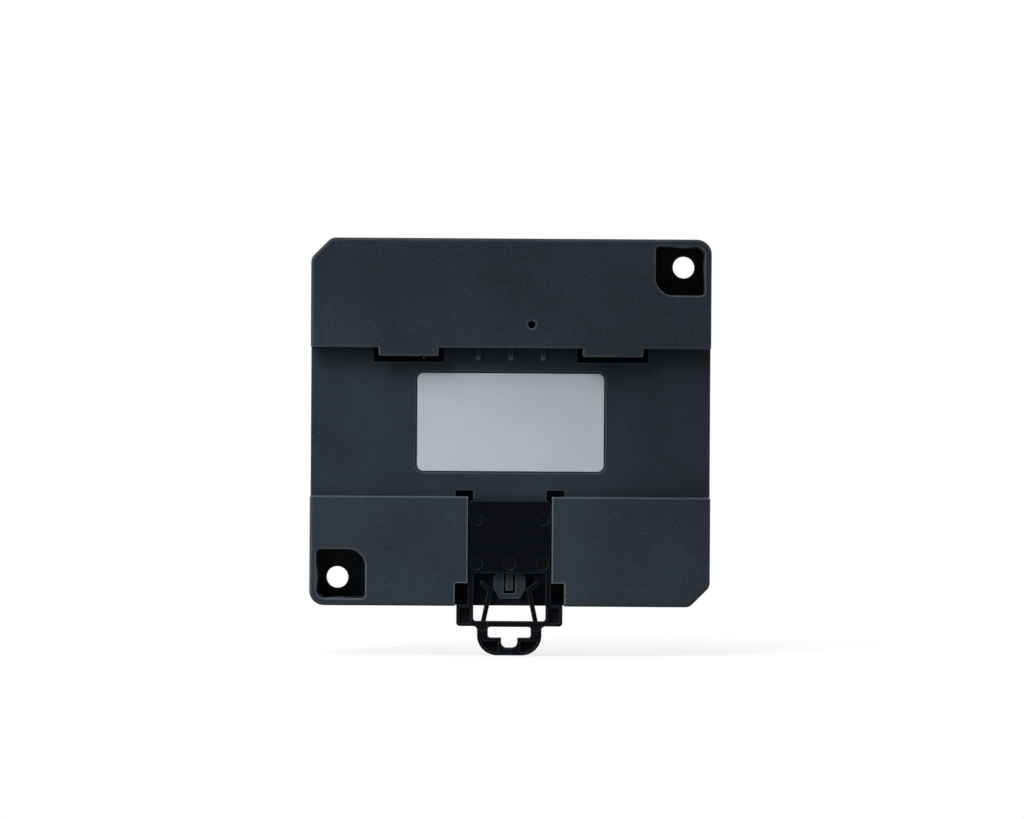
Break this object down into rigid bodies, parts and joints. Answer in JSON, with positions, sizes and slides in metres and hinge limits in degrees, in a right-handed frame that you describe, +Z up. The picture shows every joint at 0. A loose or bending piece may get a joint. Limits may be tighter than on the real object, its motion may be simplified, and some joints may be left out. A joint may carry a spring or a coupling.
{
  "type": "smart energy monitor",
  "caption": "Rail-mounted smart energy monitor: stepped case with a rear channel, corner screw pockets, a sliding rail clip, a screw terminal block and current transformer jacks.",
  "frame": {"origin": "middle of the rail seat, on the floor of the rear channel", "axes": "+Z up as it hangs in use, +Y towards the rail and the wall, -Y towards the user"},
  "size_m": [0.098, 0.036, 0.102],
  "materials": {
    "case_plastic": "fine spark-eroded slate blue-grey",
    "overlay_film": "smooth near-black film",
    "label_paper": "blank light grey sticker",
    "circuit_board": "black solder mask",
    "zinc_steel": "zinc plated",
    "terminal_plastic": "dark grey polyamide",
    "tinned_copper": "tinned copper",
    "socket_plastic": "black moulded socket",
    "potted_module": "black potted case",
    "fuse_plastic": "dark brown fuse case",
    "varistor_lacquer": "blue epoxy coat",
    "capacitor_sleeve": "dark shrink sleeve",
    "chip_resin": "black mould resin",
    "module_board": "dark blue solder mask",
    "shield_can": "tinned steel",
    "lamp_lens": "milky lamp lens",
    "clear_plastic": "clear polycarbonate",
    "switch_case": "black switch case",
    "switch_plunger": "red plunger",
    "screw_steel": "nickel plated clamp screw",
    "cage_steel": "nickel plated cage",
    "clip_plastic": "near-black polyamide"
  },
  "bodies": {
    "housing": {"rear_cover": "case_plastic", "front_housing": "case_plastic", "front_overlay": "overlay_film", "rating_label": "label_paper", "main_board": "circuit_board", "board_screws": "zinc_steel", "voltage_terminal": "terminal_plastic", "terminal_contacts": "tinned_copper", "ct_socket_1": "socket_plastic", "ct_socket_2": "socket_plastic", "ct_socket_3": "socket_plastic", "ct_socket_4": "socket_plastic", "ct_socket_pins": "tinned_copper", "power_module": "potted_module", "fuse": "fuse_plastic", "varistor": "varistor_lacquer", "bulk_capacitors": "capacitor_sleeve", "metering_chip": "chip_resin", "divider_resistors": "chip_resin", "radio_board": "module_board", "radio_shield": "shield_can", "antenna": "shield_can", "status_leds": "lamp_lens", "light_pipe": "clear_plastic", "reset_switch": "switch_case"},
    "rail_clip": {"din_slider": "clip_plastic"},
    "reset_plunger": {"reset_plunger": "switch_plunger"},
    "clamp_screw_1": {"terminal_screw_1": "screw_steel"},
    "clamp_cage_1": {"terminal_clamp_1": "cage_steel"},
    "clamp_screw_2": {"terminal_screw_2": "screw_steel"},
    "clamp_cage_2": {"terminal_clamp_2": "cage_steel"},
    "clamp_screw_3": {"terminal_screw_3": "screw_steel"},
    "clamp_cage_3": {"terminal_clamp_3": "cage_steel"},
    "clamp_screw_4": {"terminal_screw_4": "screw_steel"},
    "clamp_cage_4": {"terminal_clamp_4": "cage_steel"}
  },
  "joints": [
    {"name": "rail_clip_slide", "type": "slide", "parent": "housing", "child": "rail_clip", "axis": [0, 0, 1], "range_m": [0, 0.005]},
    {"name": "reset_press", "type": "slide", "parent": "housing", "child": "reset_plunger", "axis": [0, -1, 0], "range_m": [0, 0.00025], "stiffness_N_per_m": 400},
    {"name": "clamp_screw_turn_1", "type": "hinge", "parent": "housing", "child": "clamp_screw_1", "pos_m": [-0.01143, -0.02, 0.0365], "axis": [0, 1, 0], "range_deg": [0, 1801]},
    {"name": "clamp_cage_rise_1", "type": "slide", "parent": "housing", "child": "clamp_cage_1", "axis": [0, -1, 0], "range_m": [0, 0.0025]},
    {"name": "clamp_screw_turn_2", "type": "hinge", "parent": "housing", "child": "clamp_screw_2", "pos_m": [-0.00381, -0.02, 0.0365], "axis": [0, 1, 0], "range_deg": [0, 1801]},
    {"name": "clamp_cage_rise_2", "type": "slide", "parent": "housing", "child": "clamp_cage_2", "axis": [0, -1, 0], "range_m": [0, 0.0025]},
    {"name": "clamp_screw_turn_3", "type": "hinge", "parent": "housing", "child": "clamp_screw_3", "pos_m": [0.00381, -0.02, 0.0365], "axis": [0, 1, 0], "range_deg": [0, 1801]},
    {"name": "clamp_cage_rise_3", "type": "slide", "parent": "housing", "child": "clamp_cage_3", "axis": [0, -1, 0], "range_m": [0, 0.0025]},
    {"name": "clamp_screw_turn_4", "type": "hinge", "parent": "housing", "child": "clamp_screw_4", "pos_m": [0.01143, -0.02, 0.0365], "axis": [0, 1, 0], "range_deg": [0, 1801]},
    {"name": "clamp_cage_rise_4", "type": "slide", "parent": "housing", "child": "clamp_cage_4", "axis": [0, -1, 0], "range_m": [0, 0.0025]}
  ],
  "couplings": [
    {"joint": "clamp_screw_turn_1", "follows": "clamp_cage_rise_1", "rad_per_m": 12566},
    {"joint": "clamp_screw_turn_2", "follows": "clamp_cage_rise_2", "rad_per_m": 12566},
    {"joint": "clamp_screw_turn_3", "follows": "clamp_cage_rise_3", "rad_per_m": 12566},
    {"joint": "clamp_screw_turn_4", "follows": "clamp_cage_rise_4", "rad_per_m": 12566}
  ]
}
